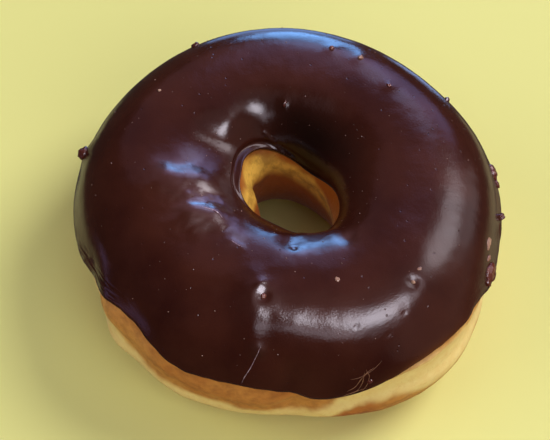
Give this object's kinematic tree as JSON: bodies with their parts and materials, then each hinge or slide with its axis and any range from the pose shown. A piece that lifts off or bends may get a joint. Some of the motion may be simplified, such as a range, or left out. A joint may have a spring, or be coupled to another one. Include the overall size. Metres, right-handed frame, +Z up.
{
  "type": "ring doughnut",
  "caption": "Fried yeast ring doughnut with a pale band round its side, and dark chocolate icing over its top, its sides and into its hole, lying flat",
  "frame": {"origin": "the middle of the bounding box's base, on the surface the doughnut rests on", "axes": "+Z up through the hole; the side that shows the most bare dough faces -Y; +X to its right"},
  "size_m": [0.0956, 0.096, 0.0374],
  "materials": {
    "fried_dough": "matte fried crust, golden brown with a pale band",
    "chocolate_icing": "satin gloss, set chocolate"
  },
  "bodies": {
    "root": {"dough_ring": "fried_dough", "chocolate_icing": "chocolate_icing"}
  },
  "joints": []
}
